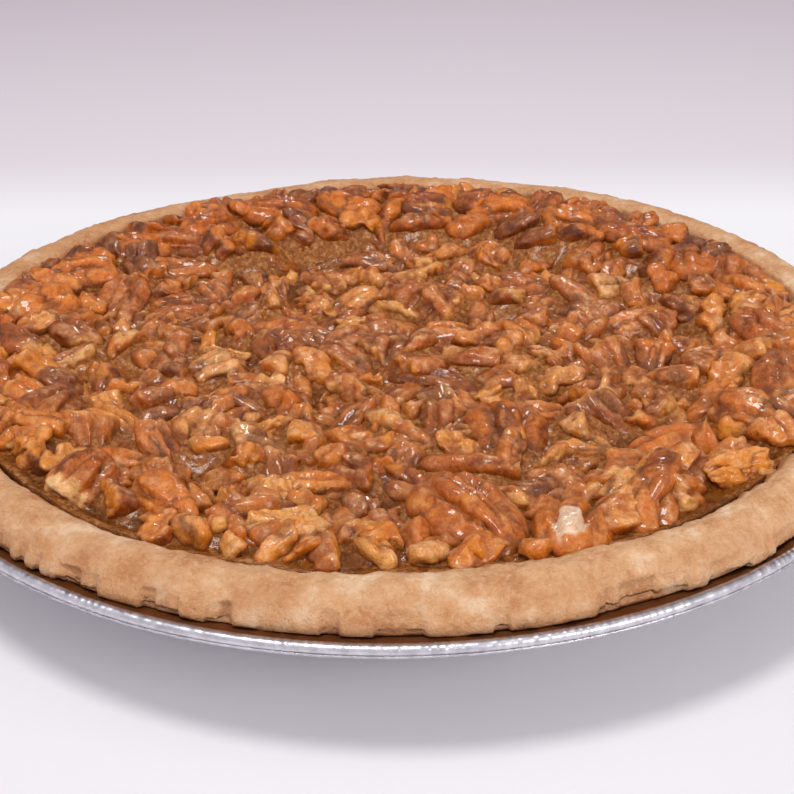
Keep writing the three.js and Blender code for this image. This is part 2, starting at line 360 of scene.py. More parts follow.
# ---- Foil tin ----------------------------------------------------------------------------------------
FOIL = 0.3
CRIMPS = 490                    # small folds round the rolled edge
FOIL_STEPS = 3 * CRIMPS
WALL_PLEATS = 72
BASE_RADIUS = 86.0
WALL_TOP = 109.5
FLANGE_Z = RIM_TOP - 1.4
BEAD_RADIUS = 1.25


def tin_section():
    """One closed line round the tin's section, under and then over: [radius, height]."""
    flange_end = RIM_RADIUS - 2 * BEAD_RADIUS - 0.35
    under = [(0.1, 0.4), (40, 0.4), (42, 0), (72, 0), (74, 0.4), (BASE_RADIUS - 2, 0), (BASE_RADIUS, 0.9),
             (WALL_TOP - 0.6, FLANGE_Z - 1.2 - FOIL), (WALL_TOP + 0.8, FLANGE_Z - FOIL)]
    bead = [(RIM_RADIUS - BEAD_RADIUS - 0.2 + BEAD_RADIUS * math.cos(a), RIM_TOP - BEAD_RADIUS
             + BEAD_RADIUS * math.sin(a)) for a in np.radians(np.linspace(-35, 170, 8))]
    lip = [(flange_end, FLANGE_Z - FOIL), (flange_end + 0.7, FLANGE_Z - 1.0),
           (RIM_RADIUS - 0.5, FLANGE_Z - 1.15), (RIM_RADIUS, FLANGE_Z - 0.75),
           (RIM_RADIUS - 0.75, FLANGE_Z - 0.25)]
    over = [(r, z + FOIL) for r, z in reversed(under)]
    return np.array([*under, *lip, *bead, *over])


def foil_tin():
    line = tin_section()
    azimuth, radius, height = swept(line, FOIL_STEPS)
    ring = on_circle(azimuth, RIM_RADIUS)
    at_edge = smoothstep(radius, RIM_RADIUS - 2.7, RIM_RADIUS - 1.9)
    crimp = np.abs(np.sin(CRIMPS * azimuth / 2 + 1.6 * noise(ring, 8, 4))) - 0.6
    strength = smoothstep(noise(ring, 16, 5), -0.5, 0.3) * (0.8 + 0.5 * noise(ring, 9, 3))
    push = at_edge * (0.22 * crimp * strength + 0.07 * noise(ring, 1.3, 6))[None, :]
    radius = radius + push * np.where(radius > RIM_RADIUS - BEAD_RADIUS, 1, -0.4)
    height = height + at_edge * (0.25 * noise(ring, 30, 7))[None, :] + push * (height > FLANGE_Z)
    wall = smoothstep(height, 2, 8) * (1 - smoothstep(height, FLANGE_Z - 5, FLANGE_Z - 1))
    pleat = np.abs(np.sin(WALL_PLEATS * azimuth / 2 + 0.5 * noise(ring, 20, 8)))
    radius = radius - wall * 0.5 * (1 - pleat)[None, :]
    radius = np.minimum(radius, RIM_RADIUS + 0.2)
    # painted shadow and painted brown reflection of the pastry's underside, on the flange under the crust's
    # edge
    gap_shadow_and_reflection = (radius < RIM_RADIUS - 2.3) & (height > FLANGE_Z - FOIL / 2)
    points = in_space(radius, azimuth, height)
    faces = ring_faces(len(line), FOIL_STEPS)
    add_piece("foil_tin", points.reshape(-1, 3), faces, foil_material(), ["foil_pan"],
              {"gap_shadow_and_reflection": gap_shadow_and_reflection.ravel()})


def foil_material():
    """Dull rolled foil, with a painted shadow and a painted brown reflection of the pastry's underside on the
    flange under the crust's edge.
    """
    look = Shader("foil")
    gap_shadow_and_reflection = look.attribute("gap_shadow_and_reflection")
    tint = look.ramp(look.noise(2.5, 3), [(0.3, (190, 186, 192)), (0.7, (226, 223, 229))])
    # the brown of that painted shadow and reflection; the foil is not metallic there
    brown = look.ramp(look.noise(4, 3), [(0.3, (104, 56, 22)), (0.7, (132, 80, 44))])
    look.feed(look.surface.inputs["Base Color"], look.mix(gap_shadow_and_reflection, tint, brown))
    look.feed(look.surface.inputs["Metallic"], look.math("SUBTRACT", 1.0, gap_shadow_and_reflection))
    look.feed(look.surface.inputs["Roughness"], look.spread(look.noise(1.2, 3), 0.3, 0.7, 0.26, 0.46))
    look.bump((look.noise(1.6, 3), 0.05))
    return look.material


# ---- Pastry ------------------------------------------------------------------------------------------
CRUST_STEPS = 1240
CRUST_STEP = 0.5                # mm between points down the rim
RISE = 2.7                      # mm that the back of the rim stands higher than its front
LIP_RADIUS = EDGE_RADIUS - 12.2


def back_rise(azimuth):
    """How much higher the rim stands round the back, in mm, with a dip in it at the left."""
    rise = RISE * smoothstep(np.sin(azimuth), -0.15, 0.45)
    return rise - 1.3 * np.exp(-(((np.degrees(azimuth) - 122) / 22) ** 2))


def pastry():
    """A closed shell: floor, wall and the sloping rim, which is uneven, ragged at its edge and chipped."""
    rim = rounded([(LIP_RADIUS - 1.3, CREST - 6.5), (LIP_RADIUS - 0.5, CREST - 2.8),
                   (LIP_RADIUS + 0.9, CREST - 1.1), (LIP_RADIUS + 3.6, CREST - 0.2),
                   (LIP_RADIUS + 6.6, CREST - 0.55),
                   (LIP_RADIUS + 9.4, CREST - 2.0), (LIP_RADIUS + 11.4, CREST - 4.1),
                   (EDGE_RADIUS + 0.2, CREST - 5.9), (EDGE_RADIUS + 0.2, FLANGE_Z + 1.0),
                   (EDGE_RADIUS - 0.4, FLANGE_Z + 0.35), (EDGE_RADIUS - 4, FLANGE_Z + 0.3)])
    rim = evenly(rim, CRUST_STEP)
    hidden = [(WALL_TOP - 0.2, FLANGE_Z + 0.4), (BASE_RADIUS - 2, CRUST_FLOOR[-1][1]),
              *reversed(CRUST_FLOOR)]
    line = np.concatenate([rim, hidden])
    azimuth, radius, height = swept(line, CRUST_STEPS)
    ring = on_circle(azimuth, EDGE_RADIUS)
    lip = (1 - smoothstep(radius, LIP_RADIUS, LIP_RADIUS + 5)) * smoothstep(height, CREST - 9, CREST - 4)
    edge = smoothstep(radius, EDGE_RADIUS - 5.5, EDGE_RADIUS - 0.5)
    edge = edge * smoothstep(height, FLANGE_Z + 0.2, FLANGE_Z + 0.7)
    shown = smoothstep(height, FLANGE_Z + 0.5, FLANGE_Z + 2) * smoothstep(radius, LIP_RADIUS - 2, LIP_RADIUS)
    brink = smoothstep(radius, EDGE_RADIUS - 1.6, EDGE_RADIUS - 0.2)
    brink = brink * smoothstep(height, FLANGE_Z, FLANGE_Z + 0.9)
    torn = smoothstep(noise(ring, 9, 11), 0.1, 0.16) + smoothstep(noise(ring, 4, 10), 0.3, 0.36)
    edges = layered(ring, 1.6, 13, 3)
    radius = radius + edge * (0.7 * noise(ring, 24, 12) + 0.2) - brink * (0.8 * torn - 0.6 * edges)
    radius = radius + lip * (1.1 * noise(ring, 17, 14) + 1.0 * layered(ring, 4, 15))
    height = height + brink * (height < FLANGE_Z + 1.5) * (0.8 * torn + 0.9 * edges)
    above = smoothstep(height, FLANGE_Z + 0.5, CREST - 1) * back_rise(azimuth)
    height = height + above + shown * (0.45 * noise(ring, 38, 16) + 0.3 * noise(ring, 11, 17))
    radius = np.minimum(radius + 0.45 * above * smoothstep(radius, LIP_RADIUS, EDGE_RADIUS), RIM_RADIUS - 1.2)
    points = in_space(radius, azimuth, height).reshape(-1, 3)
    shown, radius = shown.ravel(), radius.ravel()
    relief = 0.55 * layered(points, 7, 18) + 0.3 * layered(points, 2.2, 19, 3)
    flakes = smoothstep(layered(points * [1, 1, 2.5], 6, 20, 3), 0.12, 0.3)
    near_edge = smoothstep(radius, EDGE_RADIUS - 8, EDGE_RADIUS - 2)
    pits = smoothstep(layered(points, 1.6, 21, 2), 0.42, 0.7)
    points[:, 2] += shown * (relief + 0.35 * near_edge * flakes - 0.4 * pits)
    turn = np.arctan2(points[:, 1], points[:, 0]) + math.radians(35)
    browned = near_edge * (0.4 + 0.5 * noise(points, 12, 22) + 0.2 * flakes) + 0.4 - 0.4 * np.cos(turn)
    # the edge's underside: browned by baking, and deepened further as painted shade under the overhang
    under = 1 - smoothstep(points[:, 2] + 0.5 * noise(points, 4, 24), FLANGE_Z + 0.5, FLANGE_Z + 1.1)
    wetted = 1 - smoothstep(radius + 1.2 * layered(points, 7, 23, 3), LIP_RADIUS + 0.1, LIP_RADIUS + 1.3)
    faces = ring_faces(len(line), CRUST_STEPS, clockwise=True)
    add_piece("pastry_shell", points, faces, pastry_material(), ["pie_crust"],
              {"browned": np.clip(browned, 0, 1), "under": under, "wetted": wetted})


def pastry_material():
    """Matt shortcrust, pale with pinker and browner patches, a few dark specks, syrup on the lip, and a dark
    brown underside at the edge, browned by baking and made deeper still with painted shade.
    """
    look = Shader("pastry", Roughness=0.85, Subsurface_Weight=0.06, Specular_IOR_Level=0.25)
    look.surface.inputs["Subsurface Radius"].default_value = (0.002, 0.0012, 0.0008)
    base = look.ramp(look.noise(8, 6, 0.63), [(0.34, (200, 140, 94)), (0.45, (220, 166, 118)),
                                             (0.55, (231, 182, 136)), (0.65, (246, 213, 175))])
    warm = look.mix(look.spread(look.noise(3.5, 5, 0.7), 0.52, 0.68, 0, 0.6), base, (208, 144, 94))
    fine = look.mix(look.spread(look.noise(1.0, 4, 0.7), 0.5, 0.66, 0, 0.5), warm, (234, 192, 156))
    brown = look.mix(look.math("MULTIPLY", look.attribute("browned"), 0.5), fine, (192, 132, 86))
    speck = look.mix(look.spread(look.noise(0.8, 2), 0.74, 0.8, 0, 0.6), brown, (134, 80, 50))
    lip = look.mix(look.math("MULTIPLY", look.attribute("wetted"), 0.7), speck, (156, 92, 42))
    look.feed(look.surface.inputs["Base Color"], look.mix(look.attribute("under"), lip, (112, 62, 28)))
    look.bump((look.noise(3, 5, 0.7), 1.1), (look.noise(0.7, 4, 0.7), 0.45))
    return look.material


# ---- Height of the filling, read from the frame ------------------------------------------------------
GRID = 0.8                      # mm between samples
SPAN = 106.0                    # half the grid's width
GRID_SIDE = int(2 * SPAN / GRID) + 1
COARSE = 4                      # rays are cast at every fourth sample
OVERHEAD = 90.0                 # mm, where they start


def blur(grid, radius_mm):
    """Three box blurs in each direction, close to a Gaussian."""
    width = max(1, int(round(radius_mm / GRID)))
    kernel = np.ones(2 * width + 1) / (2 * width + 1)
    for _ in range(3):
        for axis in (0, 1):
            padded = np.pad(grid, [(width, width) if k == axis else (0, 0) for k in (0, 1)], mode="edge")
            grid = np.apply_along_axis(lambda row: np.convolve(row, kernel, "valid"), axis, padded)
    return grid


def sample(grid, x, y):
    """The grid's value at points, between its samples."""
    u = np.clip((np.asarray(x) + SPAN) / GRID, 0, GRID_SIDE - 1.001)
    v = np.clip((np.asarray(y) + SPAN) / GRID, 0, GRID_SIDE - 1.001)
    i, j = u.astype(int), v.astype(int)
    fu, fv = u - i, v - j
    low = grid[i, j] * (1 - fv) + grid[i, j + 1] * fv
    high = grid[i + 1, j] * (1 - fv) + grid[i + 1, j + 1] * fv
    return low * (1 - fu) + high * fu


def nodes_tree(names):
    vertices, faces = [], []
    for name in names:
        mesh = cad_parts[name].data
        start = len(vertices)
        vertices += [v.co / MM for v in mesh.vertices]
        faces += [[start + i for i in p.vertices] for p in mesh.polygons]
    return BVHTree.FromPolygons(vertices, faces)


def read_heights(nut_names):
    """The filling's surface with the nuts' pockets smoothed over, and 1 where a named nut lies."""
    filling, nuts = nodes_tree(["nut_filling"]), nodes_tree(nut_names)
    axis = np.linspace(-SPAN, SPAN, GRID_SIDE)[::COARSE]
    height = np.full((len(axis), len(axis)), np.nan)
    covered = np.zeros_like(height)
    down = Vector((0, 0, -1))
    for i, x in enumerate(axis):
        for j, y in enumerate(axis):
            if math.hypot(x, y) > FILLING_RADIUS - 0.5:
                continue
            start = Vector((x, y, OVERHEAD))
            covered[i, j] = nuts.ray_cast(start, down)[0] is not None
            hit = filling.ray_cast(start, down)[0]
            if hit is not None and not covered[i, j]:
                height[i, j] = hit.z
    known = ~np.isnan(height)
    filled = np.where(known, height, 0.0)
    weight = known.astype(float)
    for reach in (1, 2, 4, 8):
        kernel = np.ones(2 * reach + 1)
        total, count = np.where(known, height, 0.0), known.astype(float)
        for side in (0, 1):
            total = np.apply_along_axis(lambda row: np.convolve(row, kernel, "same"), side, total)
            count = np.apply_along_axis(lambda row: np.convolve(row, kernel, "same"), side, count)
        fresh = (weight == 0) & (count > 0)
        filled[fresh] = total[fresh] / count[fresh]
        weight[fresh] = 1
    fine = np.linspace(0, len(axis) - 1.001, GRID_SIDE)
    low = fine.astype(int)
    share = fine - low

    def finer(grid):
        rows = grid[low] * (1 - share)[:, None] + grid[low + 1] * share[:, None]
        return rows[:, low] * (1 - share) + rows[:, low + 1] * share

    return blur(finer(filled), 1.6), finer(covered)


# ---- Pecan shapes ------------------------------------------------------------------------------------
BALLS = {n: ball(n) for n in (3, 4, 5)}
BELLY = 0.62                    # the flatter side's depth, as a share of the domed side's
SOFTNESS = 0.2                  # mm, how far the edges of a break are rounded


def kernel_field(p, half_sizes, twist):
    """About how far points in mm lie outside half a pecan: long axis x, domed side +z, nose +x."""
    x, y, z = (p / half_sizes).T
    fullness = np.sqrt(np.clip(1 - np.abs(x) ** 2.5, 1e-4, 1)) * (1 - 0.15 * x)
    v, u = y / fullness, z / fullness
    wander = 0.05 * np.sin(4.3 * x + twist) + 0.03 * np.sin(9.1 * x + 2 * twist)
    groove = 0.34 * np.exp(-(((np.abs(v + wander) - 0.36) / 0.1) ** 2))
    side = 0.12 * np.exp(-(((np.abs(v - wander) - 0.72) / 0.09) ** 2))
    ribs = 0.05 * np.sin(13 * x + 5 * np.abs(v) + twist) * np.abs(v)
    dome = 1 - (groove + side + ribs) * (1 - 0.6 * x**4)
    keel = BELLY * (1 - 0.7 * np.exp(-((v / 0.2) ** 2)) * (1 - x**4))
    depth = np.where(u > 0, dome, keel)
    ends = np.clip(np.abs(x) - 0.97, 0, None) * 8
    return (np.sqrt(v**2 + (u / depth) ** 2 + ends) - 1) * half_sizes[1] * fullness


def star(directions, centre, field, reach):
    """Where rays from a centre meet a shape's surface, by halving."""
    low = np.zeros(len(directions))
    high = np.full(len(directions), reach)
    for _ in range(17):
        middle = (low + high) / 2
        outside = field(centre + directions * middle[:, None]) > 0
        high = np.where(outside, middle, high)
        low = np.where(outside, low, middle)
    return centre + directions * low[:, None]


def soft_max(values):
    """The largest of each column, rounded where two are close."""
    top = values.max(axis=0)
    return top + SOFTNESS * np.log(np.exp((values - top) / SOFTNESS).sum(axis=0))


def pecan(rng, half_sizes, breaks, centre, detail, rough=1.0, up=(0, 0, 1)):
    """Part of a half pecan: the kernel cut by breaks of (normal, distance from the centre).
    Gives points, faces, a skin share that is 1 on the kernel's own surface and 0 on a break, and 1 down a
    crease to 0 on a ridge. Points lie closer together towards up."""
    directions, faces = BALLS[detail]
    directions = directions + 0.4 * np.asarray(up, float)
    directions /= np.linalg.norm(directions, axis=1, keepdims=True)
    half_sizes = np.asarray(half_sizes, float)
    centre = np.asarray(centre, float)
    twist = rng.uniform(0, 6.3)
    normals = np.array([n for n, _ in breaks]).reshape(-1, 3)
    reaches = np.array([d for _, d in breaks])

    def sides(p):
        skin = kernel_field(p, half_sizes, twist)
        if not len(breaks):
            return skin[None, :]
        cuts = (p - centre) @ normals.T - reaches
        return np.concatenate([skin[None, :], cuts.T])

    points = star(directions, centre, lambda p: soft_max(sides(p)), 2.2 * half_sizes[0])
    at = sides(points)
    skin = np.ones(len(points))
    if len(breaks):
        skin = 1 / (1 + np.exp(-(at[0] - at[1:].max(axis=0)) / 0.25))
    own = points + rng.uniform(-500, 500, 3)
    lumps = np.abs(layered(own * [0.45, 1, 1], 5.0, 31, 2))
    wrinkle = 1.3 * (lumps - 0.2) + 0.45 * layered(own, 1.8, 34, 2)
    crumbs = np.abs(layered(own, 4.2, 32, 2))
    crumbly = 1.8 * (crumbs - 0.2) + 0.85 * layered(own, 1.6, 33, 2)
    points = points + directions * (rough * (skin * wrinkle + (1 - skin) * crumbly))[:, None]
    crease = 1 - smoothstep(skin * lumps + (1 - skin) * crumbs, 0.02, 0.16)
    return points, faces, skin, crease * min(1, rough)


def turned_by(heading, roll, nose_up):
    level = Matrix.Rotation(heading, 3, "Z") @ Matrix.Rotation(-nose_up, 3, "Y")
    return level @ Matrix.Rotation(roll, 3, "X")


# ---- The named nuts, each from its node --------------------------------------------------------------
# How dark the skin of some of them is: 0 burnt, 0.3 dark red, 0.6 chestnut, 1 golden.
TONES = {
    "pecan_half_01": 0.52, "pecan_half_02": 0.25, "pecan_half_03": 0.56, "pecan_half_05": 0.62,
    "pecan_half_06": 0.5, "pecan_half_07": 0.6, "pecan_half_08": 0.55, "pecan_half_09": 0.75,
    "pecan_half_10": 0.45, "pecan_half_11": 0.6,
    "pecan_piece_01": 0.9, "pecan_piece_03": 0.28, "pecan_piece_04": 0.85, "pecan_piece_05": -0.2,
    "pecan_piece_06": 0.95,
}
# Halves with no broken end, the one with a white break, and how rough the smoother ones are.
WHOLE = ["pecan_half_01", "pecan_half_02", "pecan_half_03", "pecan_half_05", "pecan_half_06", "pecan_half_09"]
WHITE_TIP = "pecan_half_05"
SMOOTH = {"pecan_half_09": 0.25, "pecan_half_02": 0.5, "pecan_half_05": 0.6}
FINEST = 13                     # the first halves, which stand out in the photo, have finer meshes
LONGER, WIDER, LARGER = 1.14, 1.2, 1.15     # how a half and a broken piece grow from their nodes


def node_axes(name):
    """A nut's middle, its axes as columns (long, wide, domed) and its sizes, from its node's shape."""
    co = np.array([v.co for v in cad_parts[name].data.vertices]) / MM
    co = np.unique(np.round(co, 3), axis=0)
    centre = co.mean(axis=0)
    _, axes = np.linalg.eigh(np.cov((co - centre).T))
    axes = axes[:, ::-1]
    local = (co - centre) @ axes
    low, high = local.min(axis=0), local.max(axis=0)
    local -= (low + high) / 2
    sizes = high - low
    wide = np.abs(local[:, 1])
    if wide[local[:, 0] > 0].mean() > wide[local[:, 0] < 0].mean():
        axes[:, 0] *= -1
    if local[wide > 0.4 * sizes[1], 2].mean() > 0:
        axes[:, 2] *= -1
    if name.startswith("pecan_piece") and axes[2, 2] < 0:
        axes[:, 2] *= -1
    if np.linalg.det(axes) < 0:
        axes[:, 1] *= -1
    middle = (co.min(axis=0) + co.max(axis=0)) / 2
    return middle, axes, sizes


NUT_TOP = box_mm("pecan_half_01")[1][2] + 1.5


def bank_rise(x, y):
    """How far the nuts follow the higher rim at the back, in mm."""
    return back_rise(np.arctan2(y, x)) * smoothstep(np.hypot(x, y), 68, 92)


def support(normal, sizes):
    """How far a body of these half sizes reaches along a direction."""
    return float(np.linalg.norm(np.asarray(normal) * sizes))


def named_nut(name, rng, number):
    """A rough nut round its node's smooth one, raised a little to lie on the syrup."""
    middle, axes, sizes = node_axes(name)
    pale = rng.uniform(0.2, 0.8)
    if name.startswith("pecan_half"):
        half = np.array([sizes[0] / 2 * LONGER, sizes[1] / 2 * WIDER, sizes[2] / (1 + BELLY) * WIDER])
        breaks = []
        if name not in WHOLE:
            normal = np.array([rng.choice([-1, 1]), rng.uniform(-0.6, 0.6), rng.uniform(-0.2, 0.8)])
            normal /= np.linalg.norm(normal)
            breaks = [(normal, rng.uniform(0.7, 0.95) * support(normal, half))]
        points, faces, skin, crease = pecan(rng, half, breaks, (0, 0, 0.1 * half[2]),
                                            5 if number < FINEST else 4, SMOOTH.get(name, 1.0), axes.T[:, 2])
        points[:, 2] -= (1 - BELLY) / 2 * half[2]
        worn = noise(points + rng.uniform(-99, 99, 3), 3.5, 41)
        skin = skin * (1 - 0.6 * smoothstep(worn, 0.55, 0.75))
        if name == WHITE_TIP:
            shaded_back_and_left = np.linalg.norm((points - [0.45 * half[0], 0, 0.6 * half[2]]) * [0.8, 1, 0.6], axis=1)
            skin = smoothstep(shaded_back_and_left + 1.1 * noise(points, 2.6, 42), 3.6, 4.2)
            crease = crease * skin
            pale = 1.3
    else:
        half = sizes / 2
        breaks = []
        for _ in range(6):
            normal = rng.normal(size=3)
            normal /= np.linalg.norm(normal)
            breaks.append((normal, support(normal, half) * rng.uniform(0.6, 0.95)))
        kernel = np.maximum([12.0, 6.8, 5.2], half * 1.1)
        points, faces, skin, crease = pecan(rng, kernel, breaks, (rng.uniform(-3, 3), 0, 0.5), 5, 1.3,
                                            axes.T[:, 2])
        points -= (points.min(axis=0) + points.max(axis=0)) / 2
        points *= LARGER * sizes / (points.max(axis=0) - points.min(axis=0))
    points = points @ axes.T + middle
    points[:, 2] += min(0.9 * bank_rise(*middle[:2]) + 0.4, NUT_TOP - points[:, 2].max())
    tone = TONES.get(name, rng.uniform(0.35, 0.75))
    return points, faces, {"skin": skin, "crease": crease, "tone": tone, "pale": pale}


def facing_up(points, faces):
    """How far each point's surface faces up, from -1 to 1."""
    a, b, c = (points[faces[:, k]] for k in range(3))
    normals = np.cross(b - a, c - a)
    up = np.zeros((len(points), 3))
    for k in range(3):
        np.add.at(up, faces[:, k], normals)
    return up[:, 2] / np.maximum(np.linalg.norm(up, axis=1), 1e-9)


# ---- The chopped nuts --------------------------------------------------------------------------------
class Heap:
    """Many nuts gathered into one mesh."""

    def __init__(self):
        self.points, self.faces = [], []
        self.values = {"skin": [], "crease": [], "tone": [], "pale": []}
        self.count = 0

    def add(self, points, faces, values):
        self.points.append(points)
        self.faces.append(faces + self.count)
        for key, store in self.values.items():
            store.append(np.broadcast_to(values[key], len(points)))
        self.count += len(points)

    def make(self, name, slot, material, level, stands_for=()):
        """The piece. Froth and deep say how near its points lie to the syrup, and deep also drives painted
        shade round the nuts' bases; top marks the upward faces, whose matt tan layer is partly painted sheen,
        held back at the back and left as painted shade and thinner on the named nuts."""
        points, faces = np.concatenate(self.points), np.concatenate(self.faces)
        values = {key: np.concatenate(store) for key, store in self.values.items()}
        proud = points[:, 2] - sample(level, points[:, 0], points[:, 1])
        values["froth"] = 1 - smoothstep(proud, 0.1, 1.9)
        # deep: how low a point lies by the syrup, which drives painted shade at the nuts' bases
        values["deep"] = 1 - smoothstep(proud + 0.8 * noise(points, 4, 44), 0.0, 2.2)
        # painted shade: the pale tan layer is held back on the nuts at the back and left
        shaded_back_and_left = smoothstep(points[:, 1], 10, 60) * smoothstep(np.hypot(points[:, 0], points[:, 1]), 70, 90)
        shaded_back_and_left = np.maximum(shaded_back_and_left, 0.6 * smoothstep(-points[:, 0], 40, 90))
        # top: how far each point faces up; the tan layer drawn there is partly painted sheen
        values["top"] = smoothstep(facing_up(points, faces) + 0.3 * noise(points, 3, 43), 0.2, 0.85)
        values["top"] *= (1 - 0.6 * shaded_back_and_left) * (0.5 if stands_for else 1)
        add_piece(name, points, faces, material, stands_for, values)

    def cloud(self):
        """The points and the middles of the faces."""
        points, faces = np.concatenate(self.points), np.concatenate(self.faces)
        return np.concatenate([points, points[faces].mean(axis=1)])


def chopped(rng, size, detail, pose):
    """A chopped bit of kernel about size mm across, part skin and part broken, turned by pose."""
    kernel = np.array([rng.uniform(11, 13.5), rng.uniform(6.2, 7.8), rng.uniform(4.4, 5.6)])
    centre = np.array([rng.uniform(-0.55, 0.55), rng.uniform(-0.4, 0.4), rng.uniform(0.0, 0.4)]) * kernel
    breaks = []
    lean = rng.uniform(-0.5, 0.5)
    for side in (-1, 1):
        normal = np.array([side, lean + rng.uniform(-0.4, 0.4), rng.uniform(-0.35, 0.35)])
        breaks.append((normal / np.linalg.norm(normal), size / 2 * rng.uniform(0.8, 1.15)))
    for _ in range(rng.integers(1, 4)):
        normal = rng.normal(size=3)
        breaks.append((normal / np.linalg.norm(normal), size / 2 * rng.uniform(0.5, 0.9)))
    points, faces, skin, crease = pecan(rng, kernel, breaks, centre, detail, min(1, size / 9), pose.T[:, 2])
    points = (points - (points.min(axis=0) + points.max(axis=0)) / 2) @ pose.T
    tone = 0.2 if rng.random() < 0.06 else rng.normal(0.58, 0.16)
    return points, faces, {"skin": skin, "crease": crease, "tone": tone, "pale": rng.uniform(0.0, 0.7)}


def scatter(rng, sizes, apart, low, high, keep, placed):
    """Places for pieces of these sizes between two radii, no closer than apart times their mean size."""
    fresh = []
    for size in sorted(sizes, reverse=True):
        for _ in range(20):
            radius = math.sqrt(rng.uniform(low**2, high**2))
            azimuth = rng.uniform(0, 2 * math.pi)
            x, y = radius * math.cos(azimuth), radius * math.sin(azimuth)
            near = [p for p in placed if math.hypot(p[0] - x, p[1] - y) < apart * (p[2] + size) / 2]
            if keep(x, y) and not near:
                placed.append((x, y, size))
                fresh.append((x, y, size))
                break
    return fresh


# Little pools of bare syrup beside the crust: azimuth in degrees, then radius and size in mm.
POOLS = [(-46, 101, 9), (-62, 103, 5), (-78, 103, 6), (-101, 102, 5), (-124, 103, 4)]


def clear_of_pools(x, y):
    for azimuth, radius, size in POOLS:
        a = math.radians(azimuth)
        if math.hypot(x - radius * math.cos(a), y - radius * math.sin(a)) < size:
            return False
    return True


def chopped_nuts(rng, surface, covered):
    """Heaps of loose pieces, each with its name, piled over the bank and against the crust, and laid over
    the middle. The larger ones keep back from the front, where the named nuts are."""
    # Sizes in mm, how close they lie, detail, lift in mm, radii, the front limit in y, and how much of a
    # place a named nut may cover.
    kinds = {
        "wall_nuts": (rng.uniform(9.5, 14, 60), 0.56, 4, 3.0, (97, 101), -40, 0.25),
        "bank_nuts": (rng.uniform(12, 18, 90), 0.58, 4, 1.8, (80, 99), -45, 0.25),
        "middle_nuts": (rng.uniform(11, 17, 90), 0.62, 4, 0.6, (0, 84), -62, 0.25),
        "broken_nuts": (rng.uniform(7.5, 12, 120), 0.6, 4, 0.8, (0, 102), -200, 0.35),
        "small_nuts": (rng.uniform(4, 7, 200), 0.5, 3, -0.3, (0, 102), -200, 0.35),
        "edge_nuts": (rng.uniform(7, 11, 72), 0.5, 4, 2.8, (100, 104), -30, 0.9),
    }
    near_named = blur(covered, 2.4)
    placed, heaps = [], []
    for kind, (sizes, apart, detail, lift, (low, high), front, crowded) in kinds.items():
        heap = Heap()

        def open_place(x, y):
            return y > front and sample(near_named, x, y) < crowded and clear_of_pools(x, y)

        for x, y, size in scatter(rng, sizes, apart, low, high, open_place, placed):
            pose = np.array(turned_by(rng.uniform(0, 2 * math.pi), rng.normal(0, 0.8), rng.normal(0, 0.5)))
            points, faces, values = chopped(rng, size, detail, pose)
            radius = math.hypot(x, y)
            at_front = smoothstep(-y / radius, 0.4, 0.8)
            at_back = smoothstep(y / radius, 0.2, 0.7)
            inward = min(1, (FILLING_RADIUS + 1.5 + 1.5 * at_back - 3.5 * at_front - size * 0.42) / radius)
            x, y = x * inward, y * inward
            z = sample(surface, x, y) + bank_rise(x, y) + lift + rng.normal(0, 1.0)
            z -= 1.5 * smoothstep(noise([[x, y, 0]], 30, 61)[0], 0.0, 0.6) * (radius < 80)
            z = min(z, NUT_TOP + 0.4 * bank_rise(x, y) - 1.2 - points[:, 2].max())
            # painted shade: nuts at the back and left are made darker and less pale
            far = smoothstep(y, 0, 50) * smoothstep(radius, 70, 88)
            darker = 0.28 * far + 0.14 * smoothstep(-x, 30, 90)
            values["tone"] = max(values["tone"] - darker, min(values["tone"], 0.22))
            values["pale"] *= 1 - 0.8 * far
            heap.add(points + [x, y, z], faces, values)
        heaps.append((heap, kind))
    return heaps


